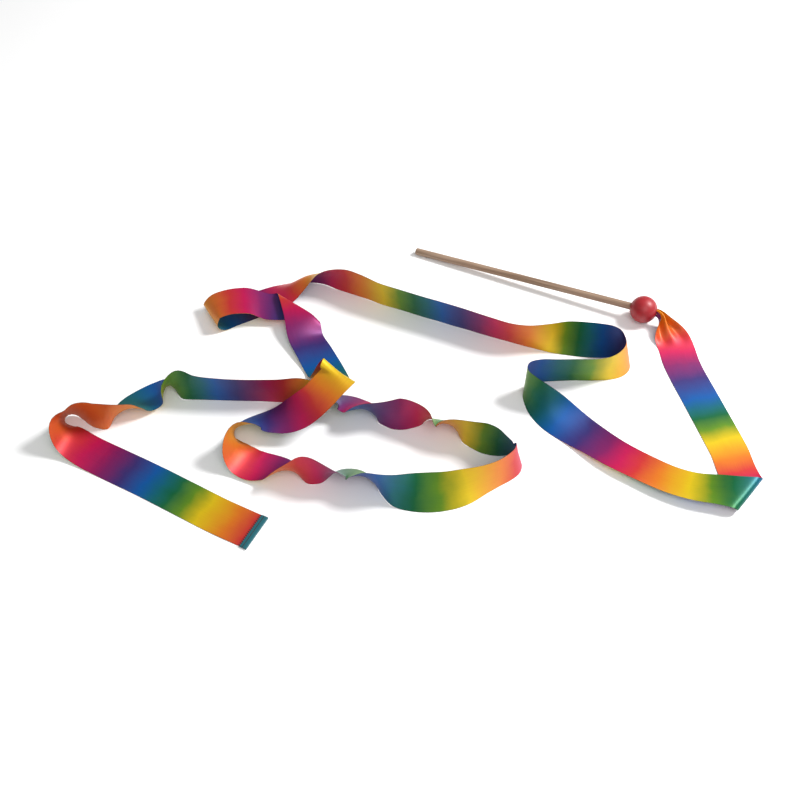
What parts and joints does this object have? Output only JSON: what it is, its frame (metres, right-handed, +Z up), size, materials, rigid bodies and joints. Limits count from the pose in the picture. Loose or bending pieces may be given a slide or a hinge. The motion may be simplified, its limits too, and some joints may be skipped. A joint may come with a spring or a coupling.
{
  "type": "rhythmic ribbon wand",
  "caption": "Gymnastics wand: a wooden dowel with a lacquered ball at its end, and a long dyed satin ribbon knotted in the ball, lying in loops, rolls and twists.",
  "frame": {"origin": "middle of the laid wand's bounding box, on the floor that it lies on", "axes": "+X along the longest side, to the right; +Y away from the viewer; +Z up"},
  "size_m": [0.7095, 0.4137, 0.054],
  "materials": {
    "stick_wood": "bare sanded softwood",
    "ball_lacquer": "satin red lacquer",
    "ribbon_satin": "satin, dyed in a repeating rainbow along its length",
    "hem_cloth": "satin, teal",
    "thread": "dark sewing thread"
  },
  "bodies": {
    "handle": {"stick": "stick_wood", "ball": "ball_lacquer"},
    "ribbon": {"knot": "ribbon_satin", "ribbon_neck": "ribbon_satin", "ribbon_first_run": "ribbon_satin", "ribbon_first_run_end": "ribbon_satin", "ribbon_roll_1": "ribbon_satin", "ribbon_second_run": "ribbon_satin", "ribbon_second_run_end": "ribbon_satin", "ribbon_rise": "ribbon_satin", "ribbon_turn_1": "ribbon_satin", "ribbon_third_run": "ribbon_satin", "ribbon_turn_2": "ribbon_satin", "ribbon_turn_2_back": "ribbon_satin", "ribbon_fourth_run": "ribbon_satin", "ribbon_fourth_run_mid": "ribbon_satin", "ribbon_fourth_run_end": "ribbon_satin", "ribbon_twist_1": "ribbon_satin", "ribbon_twist_1_end": "ribbon_satin", "ribbon_fifth_run": "ribbon_satin", "ribbon_roll_2": "ribbon_satin", "ribbon_sixth_run": "ribbon_satin", "ribbon_roll_3": "ribbon_satin", "ribbon_seventh_run": "ribbon_satin", "ribbon_climb": "ribbon_satin", "ribbon_crest": "ribbon_satin", "ribbon_eighth_run": "ribbon_satin", "ribbon_eighth_run_end": "ribbon_satin", "ribbon_turn_3": "ribbon_satin", "ribbon_turn_3_back": "ribbon_satin", "ribbon_twist_2": "ribbon_satin", "ribbon_twist_2_mid": "ribbon_satin", "ribbon_twist_2_end": "ribbon_satin", "ribbon_ninth_run": "ribbon_satin", "ribbon_ninth_run_end": "ribbon_satin", "ribbon_turn_4": "ribbon_satin", "ribbon_turn_4_back": "ribbon_satin", "ribbon_tenth_run": "ribbon_satin", "ribbon_twist_3": "ribbon_satin", "ribbon_eleventh_run": "ribbon_satin", "ribbon_twist_4": "ribbon_satin", "ribbon_twist_4_end": "ribbon_satin", "ribbon_twelfth_run": "ribbon_satin", "ribbon_twelfth_run_end": "ribbon_satin", "ribbon_twist_5": "ribbon_satin", "ribbon_thirteenth_run": "ribbon_satin", "ribbon_twist_6": "ribbon_satin", "ribbon_fourteenth_run": "ribbon_satin", "ribbon_turn_5": "ribbon_satin", "ribbon_turn_5_back": "ribbon_satin"},
    "tail": {"ribbon_tail": "ribbon_satin", "ribbon_tail_end": "ribbon_satin", "hem_fold": "hem_cloth", "hem_thread_inner": "thread", "hem_thread_outer": "thread"}
  },
  "joints": [
    {"name": "ribbon_swivel", "type": "hinge", "parent": "handle", "child": "ribbon", "pos_m": [0.262, 0.0965, 0.015], "axis": [0.918, -0.3945, 0.0406], "continuous": true},
    {"name": "tail_lift", "type": "hinge", "parent": "ribbon", "child": "tail", "pos_m": [-0.2955, -0.103, 0.0008], "axis": [-0.4848, -0.8746, 0], "range_deg": [0, 60]}
  ]
}
